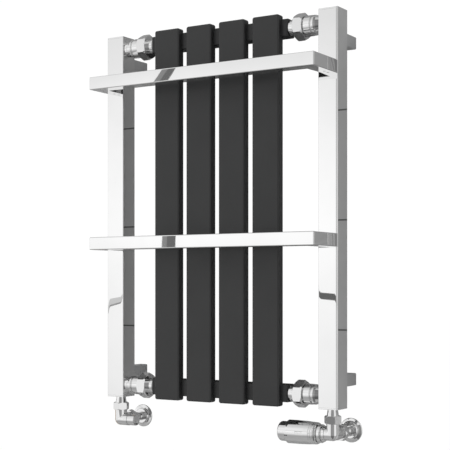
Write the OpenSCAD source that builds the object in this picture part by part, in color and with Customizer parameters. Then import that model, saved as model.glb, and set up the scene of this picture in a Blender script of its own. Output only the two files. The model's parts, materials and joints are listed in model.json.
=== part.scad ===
// Wall-hung towel radiator: two square chrome columns carry four flat panels on two headers,
// two U-shaped towel rails stand in front, and a corner valve set feeds the columns from the wall.
// Origin: centre of the four wall fixings, on the wall plane. +X right, +Y into the wall, +Z up.

/* [Columns] */
// Overall width across the two columns
body_w = 500; // [480:2:600]
// Height of the columns and of the panels
body_h = 700; // [660:10:900]
// Side of the square column tube
column_w = 38; // [37:1:42]
// Wall thickness of the column tube
column_wall = 1.5; // [1.2:0.1:2.5]
// Outside corner radius of the column tube
column_corner_r = 1; // [0.75:0.25:3]
// Thickness of the plate that closes each column end
column_plate_t = 3; // [2:0.5:5]
// Distance from the wall to the back of the columns
wall_gap = 55; // [50:1:70]

/* [Panels and headers] */
// Width of one flat panel
panel_w = 55; // [50:1:58]
// Distance from one panel to the next
panel_pitch = 71.5; // [68:0.5:75]
// Depth of one flat panel
panel_d = 18; // [16:0.5:20]
// How far the panels stand in front of the columns
panel_proud = 4; // [2:0.5:5]
// Wall thickness of the panels and headers
panel_wall = 1.5; // [1:0.1:2]
// Radius of the panels' long edges
panel_edge_r = 3; // [2:0.25:4]
// Radius of the panels' corners seen from the front
panel_corner_r = 4; // [2:0.5:8]
// Height of a header tube
header_h = 32; // [30:1:38]
// Depth of a header tube
header_d = 26; // [24:1:28]
// Length of a header over its end plates
header_l = 295; // [285:1:300]
// Distance from the end of the columns to a header's centre line
header_inset = 23.7; // [22:0.1:40]
// Depth that a header is let into the back of the panels
header_seat = 8; // [6:0.5:9]

/* [Header unions] */
// Width across flats of a union nut
union_nut_af = 43; // [40:1:46]
// Length of a union nut
union_nut_l = 18.5; // [16:0.5:20]
// Radius of the threaded collar behind a union nut
union_collar_r = 18.4; // [17:0.1:20]
// Radius of the tailpiece on the header
union_tail_r = 13.8; // [12:0.1:15]

/* [Towel rails] */
// Height of the rail's tube
rail_h = 24; // [20:1:26]
// Depth of the rail's tube
rail_d = 25; // [20:1:28]
// Width over the outside of a rail
rail_w = 480; // [470:2:500]
// Distance from the column front to the rail front
rail_reach = 70; // [60:1:90]
// Height of the upper rail above the fixings' centre
rail_upper_z = 250; // [200:1:280]
// Height of the lower rail above the fixings' centre
rail_lower_z = -54; // [-150:1:0]
// Wall thickness of the rail's tube
rail_wall = 1.5; // [1:0.1:2]

/* [Wall brackets] */
// Height of a bracket sleeve
bracket_h = 22; // [20:1:26]
// Width of a bracket sleeve
bracket_w = 20; // [18:1:26]
// Distance from the end of the columns to a bracket's centre
bracket_inset = 47.5; // [44:0.5:120]
// Radius of the wall screw hole in a bracket block
fixing_hole_r = 3.25; // [2.5:0.25:4]

/* [Valves] */
// Distance from the column's lower end to the valve axis
valve_drop = 45; // [44:1:48]
// Radius of the round valve body
valve_r = 11.5; // [11:0.1:12]
// Width across flats of the valve nuts
valve_nut_af = 27; // [27:0.5:30]
// Turn of the tail nuts from facing straight ahead
tail_nut_turn = 40; // [0:1:59]
// Radius of the hole that takes the supply pipe
pipe_hole_r = 7.6; // [7.55:0.05:7.7]
// Radius of a wall rosette
rosette_r = 22.2; // [20:0.1:26]

/* [Thermostatic head] */
// Distance from the valve axis to the near end of the head's housing
head_start = 27.5; // [27:0.5:29]
// Distance from the valve axis to the far end of the head's housing
head_split = 86.7; // [80:0.1:90]
// Distance from the valve axis to the end of the dial
head_end = 104; // [100:0.5:110]
// Largest radius of the head's housing
head_r = 21; // [20:0.1:22]
// Radius of the dial
dial_r = 17.7; // [17:0.1:18.5]

/* [Lockshield] */
// Distance from the valve axis to the lockshield cap's mouth
shield_start = 20.8; // [20:0.1:22]
// Distance from the valve axis to the lockshield cap's end
shield_end = 37; // [36:0.5:40]
// Radius of the lockshield cap
shield_r = 10.9; // [10.8:0.1:11.5]

/* [Hidden] */
$fn = 48;
SIDES = ["right", "left"];
CORNERS = ["top_right", "top_left", "bottom_right", "bottom_left"];
PANELS = [1, 2, 3, 4];

fit_gap = 0.05;
grub_r = 2.5;
grub_y = -7;
stud_r = 4;
stud_l = 18;
rail_plug_l = 13.5;

// Main planes and centres
column_x = (body_w - column_w) / 2;
column_y = -(wall_gap + column_w / 2);
column_back_y = -wall_gap;
column_front_y = -(wall_gap + column_w);
column_inner_x = body_w / 2 - column_w;
body_top = body_h / 2;
header_z = body_top - header_inset;
panel_front_y = column_front_y - panel_proud;
header_front_y = panel_front_y + panel_d - header_seat;
header_y = header_front_y + header_d / 2;
header_plate_t = 3;
header_corner_r = 3;
header_outlet_r = 8;
bracket_z = body_top - bracket_inset;
valve_z = -body_top - valve_drop;

// Unions: distances from the radiator's centre line
union_port_r = 9;
union_tail_start = header_l / 2;
union_tail_end = union_tail_start + 14;
union_flange_start = union_tail_end + 3;
union_flange_end = union_tail_end + 7;
union_flange_r = union_tail_r + 2;
union_nut_start = union_tail_end - 1;
union_nut_end = union_nut_start + union_nut_l;
union_gasket_t = 2;
union_shank_r = 12;

// Valve body, measured from the crossing of its axes
valve_bore_r = 6.5;
tail_nut_low = 18.7;
tail_nut_high = 33;
tail_seat = 26;
tail_flange_t = 3;
tail_lip_r = 10.6;
tail_shank_r = 8.6;
tail_shank_end = valve_drop + column_plate_t + 5;
inlet_shoulder = 25;
inlet_spigot_r = 10.4;
inlet_spigot_end = 33;
inlet_stop = 12;
branch_bore_start = 6.6;
compression_nut_end = 37.8;
sleeve_start = 38;
sleeve_r = 8.6;
wall_distance = -column_y;

// Thermostatic head, along its axis
neck_end = 13;
pin_r = 1.5;
spindle_end = 26;
sensor_rod_r = 3;
sensor_r = 11;
sensor_start = 46;
sensor_l = 34;
ring_start = 13.2;

// Valve inserts, along the same axis, with the seat at the crossing
insert_r = 8;
insert_start = -6;
insert_end = 22;
seat_t = 1.5;
seat_hole_r = 3.5;
chamber_r = 6.6;
chamber_end = 10;
inlet_notch_w = 8;
outlet_window_r = 2.75;
outlet_window_z = 3.2;
plug_r = 5.4;
plug_rest = 1.9;
plug_seal_t = 1.4;
plug_disc_t = 1;

// Lockshield, along its axis
shield_spigot_r = 9.4;
shield_spigot_end = 26;
shield_pin_r = 3;
shield_pin_end = 29;

// Air vent on the back of the left column
vent_z = body_top - 18;
vent_r = 5;
bleed_r = 2;
bleed_square = 3.8;

function rounded(w, d, r, n = 6) = [
    for (c = [0:3])
        for (i = [0:n])
            let (a = 90 * (c + i / n),
                 sx = (c == 0 || c == 3) ? 1 : -1,
                 sy = (c < 2) ? 1 : -1)
            [sx * (w / 2 - r) + r * cos(a), sy * (d / 2 - r) + r * sin(a)]
];

function side_sign(s) = s == "right" ? 1 : -1;
function corner_x_sign(c) = (c == "top_right" || c == "bottom_right") ? 1 : -1;
function corner_z_sign(c) = (c == "top_right" || c == "top_left") ? 1 : -1;

// Turns a shape drawn along +Z to run along +X, +Y or -X
module along_x() { rotate([0, 90, 0]) children(); }
module along_y() { rotate([-90, 0, 0]) children(); }

// Places a right-hand shape on either side
module on_side(sign) {
    if (sign > 0) {
        children();
    } else {
        mirror([1, 0, 0]) children();
    }
}

// Places a shape at one of the four corners of the body, drawn for the right
module on_corner(c, z) {
    on_side(corner_x_sign(c)) translate([0, 0, corner_z_sign(c) * z]) children();
}

module tube_section(w, d, r, wall) {
    difference() {
        polygon(rounded(w, d, r));
        polygon(rounded(w - 2 * wall, d - 2 * wall, max(r - wall, 0.5)));
    }
}

// Solid of revolution about Z from [radius, height] points
module turned(points) {
    rotate_extrude() polygon(points);
}

// Hexagonal nut blank with its corners turned off at both ends
module hex_blank(af, h, chamfer) {
    corner_r = af / sqrt(3);
    intersection() {
        rotate([0, 0, 30]) cylinder(r = corner_r, h = h, $fn = 6);
        turned([
            [0, 0],
            [af / 2 + 0.2, 0],
            [corner_r + 0.1, chamfer],
            [corner_r + 0.1, h - chamfer],
            [af / 2 + 0.2, h],
            [0, h]
        ]);
    }
}

// ---------------------------------------------------------------- columns

module column(s) {
    tube_h = body_h - 2 * column_plate_t;
    color("gainsboro") on_side(side_sign(s)) difference() {
        translate([column_x, column_y, -tube_h / 2])
            linear_extrude(tube_h) tube_section(column_w, column_w, column_corner_r, column_wall);
        for (k = [-1, 1])
            translate([column_inner_x - 1, header_y, k * header_z])
                along_x() cylinder(r = union_shank_r + fit_gap, h = column_wall + 2);
        if (s == "left")
            translate([column_x, column_back_y - column_wall - 1, vent_z])
                along_y() cylinder(r = vent_r + fit_gap, h = column_wall + 2);
    }
}

module column_end_plates() {
    color("gainsboro") for (s = SIDES) on_side(side_sign(s)) {
        translate([column_x, column_y, body_top - column_plate_t])
            linear_extrude(column_plate_t) polygon(rounded(column_w, column_w, column_corner_r));
        translate([column_x, column_y, -body_top]) difference() {
            linear_extrude(column_plate_t) polygon(rounded(column_w, column_w, column_corner_r));
            translate([0, 0, -1]) cylinder(r = tail_shank_r + fit_gap, h = column_plate_t + 2);
        }
    }
}

// ---------------------------------------------------------------- panels and headers

module panel_blank(w, d, h, edge_r, corner_r) {
    intersection() {
        translate([0, 0, -h / 2]) linear_extrude(h) polygon(rounded(w, d, edge_r));
        rotate([90, 0, 0]) translate([0, 0, -d]) linear_extrude(2 * d) polygon(rounded(w, h, corner_r));
    }
}

module panel(n) {
    x = (n - 2.5) * panel_pitch;
    color("#3c3c3c") difference() {
        translate([x, panel_front_y + panel_d / 2, 0]) difference() {
            panel_blank(panel_w, panel_d, body_h, panel_edge_r, panel_corner_r);
            panel_blank(
                panel_w - 2 * panel_wall,
                panel_d - 2 * panel_wall,
                body_h - 2 * panel_wall,
                panel_edge_r - 1,
                panel_corner_r - 1
            );
        }
        for (k = [-1, 1])
            translate([x - panel_w, header_front_y, k * header_z - header_h / 2])
                cube([2 * panel_w, header_d, header_h]);
    }
}

module header(k) {
    tube_l = header_l - 2 * header_plate_t;
    color("#323232") translate([0, header_y, k * header_z]) difference() {
        translate([-tube_l / 2, 0, 0]) along_x()
            linear_extrude(tube_l) tube_section(header_h, header_d, header_corner_r, panel_wall);
        for (n = PANELS)
            translate([(n - 2.5) * panel_pitch, -header_d / 2 - 1, 0])
                along_y() cylinder(r = header_outlet_r, h = panel_wall + 2);
    }
}

module header_end_plates() {
    color("#323232") for (c = CORNERS)
        on_corner(c, header_z)
            translate([header_l / 2 - header_plate_t, header_y, 0]) along_x() difference() {
                linear_extrude(header_plate_t) polygon(rounded(header_h, header_d, header_corner_r));
                translate([0, 0, -1]) cylinder(r = union_port_r, h = header_plate_t + 2);
            }
}

// ---------------------------------------------------------------- header unions

module union_tail(c) {
    color("silver") on_corner(c, header_z) translate([0, header_y, 0]) along_x() turned([
        [union_port_r, union_tail_start],
        [union_tail_r - 1, union_tail_start],
        [union_tail_r, union_tail_start + 1.5],
        [union_tail_r, union_flange_start],
        [union_flange_r, union_flange_start],
        [union_flange_r, union_flange_end],
        [union_port_r, union_flange_end]
    ]);
}

module union_nut(c) {
    thread_start = union_flange_start - union_nut_start - fit_gap;
    chamfer = 3;
    color("silver") on_corner(c, header_z) translate([union_nut_start, header_y, 0]) along_x()
        difference() {
            rotate([0, 0, 90]) hex_blank(union_nut_af, union_nut_l, chamfer);
            translate([0, 0, -1]) cylinder(r = union_tail_r + fit_gap, h = union_nut_l);
            translate([0, 0, thread_start]) cylinder(r = union_flange_r + fit_gap, h = union_nut_l);
        }
}

module union_collar(c) {
    collar_start = union_nut_end + 1.5;
    collar_end = collar_start + 13;
    spigot_start = union_flange_end + union_gasket_t;
    spigot_end = union_nut_end + 0.4;
    groove_r = union_collar_r - 2.4;
    flange_r = union_collar_r - 0.2;
    color("silver") on_corner(c, header_z) translate([0, header_y, 0]) along_x() turned([
        [union_port_r, spigot_start],
        [union_flange_r, spigot_start],
        [union_flange_r, spigot_end],
        [groove_r, spigot_end],
        [groove_r, collar_start],
        [union_collar_r - 0.7, collar_start],
        [union_collar_r, collar_start + 0.8],
        [union_collar_r, collar_end - 1.2],
        [union_collar_r - 1, collar_end],
        [groove_r, collar_end + 0.3],
        [groove_r, collar_end + 2.2],
        [flange_r - 0.8, collar_end + 2.5],
        [flange_r, collar_end + 3.5],
        [flange_r - 0.3, collar_end + 6],
        [flange_r - 1.6, collar_end + 9.5],
        [flange_r - 3.6, column_inner_x],
        [union_shank_r, column_inner_x],
        [union_shank_r, column_inner_x + column_wall + 2],
        [union_port_r, column_inner_x + column_wall + 2]
    ]);
}

module union_gaskets() {
    color("#202020") for (c = CORNERS)
        on_corner(c, header_z) translate([union_flange_end, header_y, 0]) along_x() difference() {
            cylinder(r = union_flange_r - 0.2, h = union_gasket_t);
            translate([0, 0, -1]) cylinder(r = union_port_r, h = union_gasket_t + 2);
        }
}

// ---------------------------------------------------------------- towel rails

// U-shaped outline seen from above, from the column front out to the given reach
module rail_outline(w, reach, tube_d) {
    difference() {
        translate([-w / 2, column_front_y - reach]) square([w, reach]);
        translate([-w / 2 + tube_d, column_front_y - reach + tube_d]) square([w - 2 * tube_d, reach]);
    }
}

module towel_rail(z) {
    color("whitesmoke") translate([0, 0, z - rail_h / 2]) difference() {
        linear_extrude(rail_h) rail_outline(rail_w, rail_reach, rail_d);
        translate([0, 0, rail_wall]) linear_extrude(rail_h - 2 * rail_wall) difference() {
            translate([-rail_w / 2 + rail_wall, column_front_y - rail_reach + rail_wall])
                square([rail_w - 2 * rail_wall, rail_reach]);
            translate([-rail_w / 2 + rail_d - rail_wall, column_front_y - rail_reach + rail_d - rail_wall])
                square([rail_w - 2 * rail_d + 2 * rail_wall, rail_reach]);
        }
        for (k = [-1, 1])
            translate([k * (rail_w - rail_d) / 2, column_front_y + grub_y, -1])
                cylinder(r = grub_r + fit_gap, h = 5);
    }
}

// Repeats a shape in the four ends of the two rails
module in_rail_ends() {
    for (k = [-1, 1])
        for (z = [rail_upper_z, rail_lower_z])
            translate([k * (rail_w - rail_d) / 2, column_front_y, z]) children();
}

module rail_studs() {
    color("darkgray") in_rail_ends() rotate([90, 0, 0]) cylinder(r = stud_r, h = stud_l);
}

module rail_end_plugs() {
    plug_w = rail_d - 2 * rail_wall - 2 * fit_gap;
    plug_h = rail_h - 2 * rail_wall - 2 * fit_gap;
    color("dimgray") in_rail_ends() difference() {
        translate([-plug_w / 2, -rail_plug_l - 0.5, -plug_h / 2]) cube([plug_w, rail_plug_l, plug_h]);
        rotate([90, 0, 0]) cylinder(r = stud_r + fit_gap, h = rail_plug_l + 1);
        translate([0, grub_y, -rail_h]) cylinder(r = grub_r + fit_gap, h = rail_h);
    }
}

// ---------------------------------------------------------------- wall brackets

bracket_wall = 2;
block_depth = 32;
block_w = bracket_w - 2 * bracket_wall - 2 * fit_gap;
block_h = bracket_h - 2 * bracket_wall - 2 * fit_gap;
block_corner_r = 0.6;
bracket_screw_y = -22;
bracket_corner_r = 2;
sleeve_clearance = 0.5;
screw_head_r = 6;
screw_seat_t = 14;

module bracket_sleeve(c) {
    color("silver") on_corner(c, bracket_z) difference() {
        translate([column_x, column_back_y, 0]) along_y()
            linear_extrude(wall_gap - sleeve_clearance)
                tube_section(bracket_w, bracket_h, bracket_corner_r, bracket_wall);
        translate([column_x, bracket_screw_y, -bracket_h]) cylinder(r = grub_r + fit_gap, h = bracket_h);
    }
}

module bracket_wall_blocks() {
    color("darkgray") for (c = CORNERS)
        on_corner(c, bracket_z) difference() {
            translate([column_x, -block_depth, 0]) along_y()
                linear_extrude(block_depth) polygon(rounded(block_w, block_h, block_corner_r));
            translate([column_x, -block_depth - 1, 0]) along_y()
                cylinder(r = fixing_hole_r, h = block_depth + 2);
            translate([column_x, -block_depth - 1, 0]) along_y()
                cylinder(r = screw_head_r, h = block_depth - screw_seat_t + 1);
        }
}

// Socket grub screw drawn upwards from its socket end
module grub_screw(h) {
    difference() {
        cylinder(r = grub_r, h = h);
        translate([0, 0, -1]) cylinder(r = grub_r / 2, h = 2.2, $fn = 6);
    }
}

module grub_screws() {
    color("dimgray") {
        in_rail_ends() translate([0, grub_y, -rail_h / 2 + 0.4]) grub_screw(rail_h / 2 - 4.6);
        for (c = CORNERS)
            on_corner(c, bracket_z)
                translate([column_x, bracket_screw_y, -bracket_h / 2]) grub_screw(bracket_wall + fit_gap);
    }
}

// ---------------------------------------------------------------- valves

// Moves to the crossing of a valve's axes; shapes are drawn for the right-hand valve
module at_valve(s) {
    on_side(side_sign(s)) translate([column_x, column_y, valve_z]) children();
}

// Points a shape along the valve's third branch, towards the radiator's centre
module towards_centre() { rotate([0, -90, 0]) children(); }

module valve_body(s) {
    neck = s == "right" ? neck_end : shield_start - 0.3;
    color("silver") at_valve(s) difference() {
        union() {
            cylinder(r = valve_r, h = tail_seat);
            along_y() cylinder(r = valve_r, h = inlet_shoulder);
            along_y() cylinder(r = inlet_spigot_r, h = inlet_spigot_end);
            towards_centre() cylinder(r = valve_r - fit_gap, h = neck);
            sphere(r = valve_r + 0.3);
        }
        translate([0, 0, branch_bore_start]) cylinder(r = valve_bore_r, h = tail_seat);
        along_y() translate([0, 0, branch_bore_start]) cylinder(r = valve_bore_r, h = inlet_spigot_end);
        along_y() translate([0, 0, inlet_stop]) cylinder(r = pipe_hole_r, h = inlet_spigot_end);
        towards_centre() translate([0, 0, insert_start - 1]) cylinder(r = insert_r + fit_gap, h = neck + 8);
    }
}

module valve_tail(s) {
    color("silver") at_valve(s) turned([
        [valve_bore_r, tail_seat + 0.2],
        [valve_r - 0.1, tail_seat + 0.2],
        [valve_r - 0.1, tail_seat + tail_flange_t],
        [tail_lip_r - 0.1, tail_seat + tail_flange_t],
        [tail_lip_r - 0.1, tail_nut_high + 0.6],
        [tail_shank_r + 0.6, valve_drop - 3],
        [tail_shank_r + 0.4, valve_drop],
        [tail_shank_r, valve_drop],
        [tail_shank_r, tail_shank_end],
        [valve_bore_r, tail_shank_end]
    ]);
}

module valve_tail_nut(s) {
    color("silver") at_valve(s) translate([0, 0, tail_nut_low]) difference() {
        rotate([0, 0, tail_nut_turn]) hex_blank(valve_nut_af, tail_nut_high - tail_nut_low, 2);
        translate([0, 0, -1]) cylinder(r = tail_lip_r, h = 20);
        translate([0, 0, -1])
            cylinder(r = valve_r + fit_gap, h = tail_seat + tail_flange_t + fit_gap - tail_nut_low + 1);
    }
}

module compression_nut(s) {
    nut_l = compression_nut_end - inlet_shoulder - 0.3;
    lip_t = 1.8;
    turn = s == "right" ? 30 : 0;
    color("silver") at_valve(s) along_y() translate([0, 0, inlet_shoulder + 0.3]) difference() {
        rotate([0, 0, turn]) hex_blank(valve_nut_af, nut_l, 1.8);
        translate([0, 0, -1]) cylinder(r = pipe_hole_r, h = nut_l + 2);
        translate([0, 0, -1]) cylinder(r = inlet_spigot_r + fit_gap, h = nut_l - lip_t + 1);
    }
}

module compression_olives() {
    olive_start = inlet_spigot_end + 0.2;
    color("goldenrod") for (s = SIDES)
        at_valve(s) along_y() turned([
            [pipe_hole_r, olive_start],
            [pipe_hole_r + 1, olive_start],
            [inlet_spigot_r - 0.4, olive_start + 1.1],
            [inlet_spigot_r - 0.4, olive_start + 1.6],
            [pipe_hole_r + 1, olive_start + 2.6],
            [pipe_hole_r, olive_start + 2.6]
        ]);
}

module pipe_sleeve(s) {
    color("silver") at_valve(s) along_y() translate([0, 0, sleeve_start]) difference() {
        cylinder(r = sleeve_r, h = wall_distance - sleeve_start);
        translate([0, 0, -1]) cylinder(r = pipe_hole_r, h = wall_distance);
    }
}

// Pressed wall plate with a bevelled rim and a raised collar; heights run from the wall outwards
module rosette(s) {
    collar_r = 14.8;
    hole_r = sleeve_r + fit_gap;
    color("silver") at_valve(s) translate([0, wall_distance, 0]) rotate([90, 0, 0]) turned([
        [rosette_r - 1, 0],
        [rosette_r, 0],
        [rosette_r, 0.9],
        [rosette_r - 0.8, 1.8],
        [collar_r + 2.4, 2.8],
        [collar_r + 0.6, 3.6],
        [collar_r, 5.2],
        [collar_r - 0.2, 7.6],
        [collar_r - 0.9, 8.2],
        [hole_r, 8.2],
        [hole_r, 7.2],
        [collar_r - 1.3, 7.2],
        [collar_r - 1.1, 4.4],
        [collar_r + 0.6, 2.6],
        [rosette_r - 1.6, 0.8]
    ]);
}

// ---------------------------------------------------------------- thermostatic valve

// Barrel with an open lower end, a seat plate and a chamber above it; the inlet notch opens
// below the seat and the outlet window above it
module insert_barrel(barrel_end) {
    difference() {
        translate([0, 0, insert_start]) cylinder(r = insert_r, h = barrel_end - insert_start);
        translate([0, 0, insert_start - 1]) cylinder(r = chamber_r, h = 1 - insert_start - seat_t);
        translate([0, 0, -seat_t - 1]) cylinder(r = seat_hole_r, h = seat_t + 2);
        cylinder(r = chamber_r, h = chamber_end);
        translate([-inlet_notch_w / 2, 0, insert_start - 1])
            cube([inlet_notch_w, insert_r + 1, 1 - insert_start - seat_t]);
        translate([0, 0, outlet_window_z]) rotate([0, 90, 0]) cylinder(r = outlet_window_r, h = insert_r + 1);
    }
}

module trv_insert() {
    gland_r = 5;
    color("goldenrod") at_valve("right") towards_centre() difference() {
        union() {
            insert_barrel(insert_end - 3);
            translate([0, 0, chamber_end + 1]) cylinder(r = gland_r, h = insert_end - chamber_end - 1);
        }
        cylinder(r = pin_r + fit_gap, h = insert_end + 1);
    }
}

module trv_spindle() {
    color("lightgray") at_valve("right") towards_centre() translate([0, 0, plug_rest + plug_seal_t]) {
        cylinder(r = plug_r, h = plug_disc_t);
        cylinder(r = pin_r, h = spindle_end - plug_rest - plug_seal_t);
    }
}

module trv_plug_seal() {
    color("#202020") at_valve("right") towards_centre() translate([0, 0, plug_rest])
        cylinder(r = plug_r, h = plug_seal_t);
}

// Helix of round wire as one closed surface
spring_turns = 3;
spring_steps = 16;
spring_sides = 8;
spring_wire_r = 0.35;
spring_r = 3.6;
spring_low = plug_rest + plug_seal_t + plug_disc_t + spring_wire_r + fit_gap;
spring_high = chamber_end - spring_wire_r - fit_gap;

function spring_ring(i) =
    let (a = 360 * i / spring_steps,
         z = spring_low + (spring_high - spring_low) * i / (spring_turns * spring_steps))
    [for (k = [0:spring_sides - 1])
        let (b = 360 * k / spring_sides,
             r = spring_r + spring_wire_r * cos(b))
        [r * cos(a), r * sin(a), z + spring_wire_r * sin(b)]];

module trv_return_spring() {
    rings = spring_turns * spring_steps;
    n = spring_sides;
    points = [for (i = [0:rings]) each spring_ring(i)];
    walls = [for (i = [0:rings - 1]) for (k = [0:n - 1])
        [i * n + k, (i + 1) * n + k, (i + 1) * n + (k + 1) % n, i * n + (k + 1) % n]];
    first_cap = [for (k = [0:n - 1]) k];
    last_cap = [for (k = [n - 1:-1:0]) rings * n + k];
    color("lightgray") at_valve("right") towards_centre()
        polyhedron(points = points, faces = concat([first_cap, last_cap], walls));
}

module trv_connecting_ring() {
    color("silver") at_valve("right") towards_centre() turned([
        [insert_r + fit_gap, ring_start],
        [valve_r + 0.2, ring_start],
        [15, 19.6],
        [15.6, 20],
        [16.4, 20.8],
        [16.4, 24.8],
        [15.8, 25.4],
        [14.8, 25.6],
        [14.8, head_start - 0.2],
        [insert_r + fit_gap, head_start - 0.2]
    ]);
}

module trv_housing() {
    groove_pitch = 4;
    groove_depth = 0.5;
    groove_half = 0.5;
    wall_r = dial_r - 0.5;
    color("silver") at_valve("right") towards_centre() difference() {
        turned([
            [9, head_start],
            [head_r - 3.4, head_start],
            [head_r - 2.5, head_start + 0.5],
            [head_r - 1.9, head_start + 1.6],
            [head_r - 1.5, head_start + 5],
            [head_r - 0.9, head_start + 12],
            [head_r - 0.4, head_start + 22],
            [head_r, head_start + 38],
            [head_r, head_split - 0.5],
            [head_r - 0.4, head_split],
            [wall_r, head_split],
            [wall_r, head_start + 8],
            [9, head_start + 8]
        ]);
        for (i = [1:3])
            translate([0, 0, head_start + i * groove_pitch - groove_half]) difference() {
                cylinder(r = head_r + 1, h = 2 * groove_half);
                translate([0, 0, -1]) cylinder(r = head_r - 1.6 - groove_depth, h = 4);
            }
    }
}

module trv_sensor() {
    color("lightgray") at_valve("right") towards_centre() {
        translate([0, 0, spindle_end]) cylinder(r = sensor_rod_r, h = sensor_start + 1 - spindle_end);
        translate([0, 0, sensor_start]) cylinder(r = sensor_r, h = sensor_l);
    }
}

module trv_dial() {
    skirt_r = dial_r - 1.2;
    shell_t = 1.8;
    color("whitesmoke") at_valve("right") towards_centre() turned([
        [0, head_end],
        [dial_r - 4.2, head_end],
        [dial_r - 2.4, head_end - 0.5],
        [dial_r - 0.9, head_end - 1.8],
        [dial_r - 0.2, head_end - 3.6],
        [dial_r, head_end - 5.5],
        [dial_r, head_split + 0.4],
        [skirt_r, head_split + 0.4],
        [skirt_r, head_start + 10],
        [skirt_r - shell_t, head_start + 10],
        [skirt_r - shell_t, head_end - 6],
        [0, head_end - 6]
    ]);
}

// ---------------------------------------------------------------- lockshield valve

module lockshield_insert() {
    color("goldenrod") at_valve("left") towards_centre() difference() {
        union() {
            insert_barrel(shield_start);
            translate([0, 0, shield_start - 0.3])
                cylinder(r = shield_spigot_r, h = shield_spigot_end - shield_start + 0.3);
        }
        cylinder(r = shield_pin_r + fit_gap, h = shield_spigot_end + 1);
    }
}

// Spindle that turns in the insert; its thin threaded end runs in the plug's stem
module lockshield_spindle() {
    shoulder = chamber_end - 0.5;
    thread_start = 4.1;
    slot_w = 1.2;
    slot_depth = 2;
    color("lightgray") at_valve("left") towards_centre() difference() {
        union() {
            translate([0, 0, shoulder]) cylinder(r = shield_pin_r, h = shield_pin_end - shoulder);
            translate([0, 0, thread_start]) cylinder(r = pin_r, h = shoulder + 1 - thread_start);
        }
        translate([-shield_pin_r - 1, -slot_w / 2, shield_pin_end - slot_depth])
            cube([2 * shield_pin_r + 2, slot_w, slot_depth + 1]);
    }
}

module lockshield_plug() {
    disc_top = 3.5;
    stem_r = 2.8;
    stem_top = 7.5;
    rest = 1.7;
    color("#202020") at_valve("left") towards_centre() turned([
        [0, rest],
        [plug_r, rest],
        [plug_r, disc_top],
        [stem_r, disc_top],
        [stem_r, stem_top],
        [pin_r + fit_gap, stem_top],
        [pin_r + fit_gap, rest + 0.5],
        [0, rest + 0.5]
    ]);
}

module lockshield_cap() {
    color("whitesmoke") at_valve("left") towards_centre() turned([
        [shield_spigot_r + fit_gap, shield_start],
        [shield_r - 0.2, shield_start],
        [shield_r, shield_start + 0.3],
        [shield_r, shield_end - 1],
        [shield_r - 0.3, shield_end - 0.3],
        [shield_r - 1, shield_end],
        [0, shield_end],
        [0, shield_end - 1.5],
        [shield_spigot_r + fit_gap, shield_end - 1.5]
    ]);
}

// ---------------------------------------------------------------- air vent

module air_vent() {
    hex_af = 14;
    hex_l = 5;
    spigot_start = -column_wall - 3;
    color("silver") translate([-column_x, column_back_y, vent_z]) along_y() difference() {
        union() {
            hex_blank(hex_af, hex_l, 0.8);
            translate([0, 0, spigot_start]) cylinder(r = vent_r, h = 1 - spigot_start);
        }
        translate([0, 0, spigot_start - 1]) cylinder(r = bleed_r + fit_gap, h = hex_l - spigot_start + 2);
    }
}

module bleed_screw() {
    square_start = 5.1;
    square_l = 4;
    color("silver") translate([-column_x, column_back_y, vent_z]) along_y() {
        translate([0, 0, -3]) cylinder(r = bleed_r, h = square_start + 3.2);
        translate([-bleed_square / 2, -bleed_square / 2, square_start])
            cube([bleed_square, bleed_square, square_l]);
    }
}

// ---------------------------------------------------------------- assembly

for (s = SIDES) {
    column(s);
    valve_body(s);
    valve_tail(s);
    valve_tail_nut(s);
    compression_nut(s);
    pipe_sleeve(s);
    rosette(s);
}
for (c = CORNERS) {
    union_tail(c);
    union_nut(c);
    union_collar(c);
    bracket_sleeve(c);
}
column_end_plates();
for (n = PANELS) {
    panel(n);
}
header(1);  // header_top
header(-1);  // header_bottom
header_end_plates();
union_gaskets();
towel_rail(rail_upper_z);  // towel_rail_upper
towel_rail(rail_lower_z);  // towel_rail_lower
rail_studs();
rail_end_plugs();
bracket_wall_blocks();
grub_screws();
compression_olives();
trv_insert();
trv_spindle();
trv_plug_seal();
trv_return_spring();
trv_connecting_ring();
trv_housing();
trv_sensor();
trv_dial();
lockshield_insert();
lockshield_spindle();
lockshield_plug();
lockshield_cap();
air_vent();
bleed_screw();
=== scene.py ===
import json
import math

import bmesh
import bpy
from mathutils import Matrix, Vector


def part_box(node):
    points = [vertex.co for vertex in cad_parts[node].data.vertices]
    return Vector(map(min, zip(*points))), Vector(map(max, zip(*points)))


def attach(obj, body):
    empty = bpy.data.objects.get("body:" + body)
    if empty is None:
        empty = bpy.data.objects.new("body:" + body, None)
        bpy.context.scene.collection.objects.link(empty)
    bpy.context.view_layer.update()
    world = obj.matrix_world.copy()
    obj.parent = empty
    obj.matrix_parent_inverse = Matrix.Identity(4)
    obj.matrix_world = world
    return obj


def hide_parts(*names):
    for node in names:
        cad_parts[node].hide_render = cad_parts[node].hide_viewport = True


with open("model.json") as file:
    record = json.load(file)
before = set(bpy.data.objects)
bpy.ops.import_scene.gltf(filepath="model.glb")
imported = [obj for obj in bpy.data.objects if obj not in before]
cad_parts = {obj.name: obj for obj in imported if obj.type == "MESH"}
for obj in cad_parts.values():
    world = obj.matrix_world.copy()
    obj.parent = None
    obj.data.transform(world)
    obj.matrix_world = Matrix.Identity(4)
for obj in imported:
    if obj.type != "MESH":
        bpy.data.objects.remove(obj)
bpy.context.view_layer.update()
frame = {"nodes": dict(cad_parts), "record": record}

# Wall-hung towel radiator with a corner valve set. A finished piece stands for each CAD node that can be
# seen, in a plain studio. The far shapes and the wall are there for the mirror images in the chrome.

nodes = frame["nodes"]
MM = 0.001
GAP = 0.05      # between a bore and what fills it, in millimetres like the sizes of all pieces below
CORNERS = ("top_right", "top_left", "bottom_right", "bottom_left")
SIDES = ("right", "left")


# ---------------------------------------------------------------- materials

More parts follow.
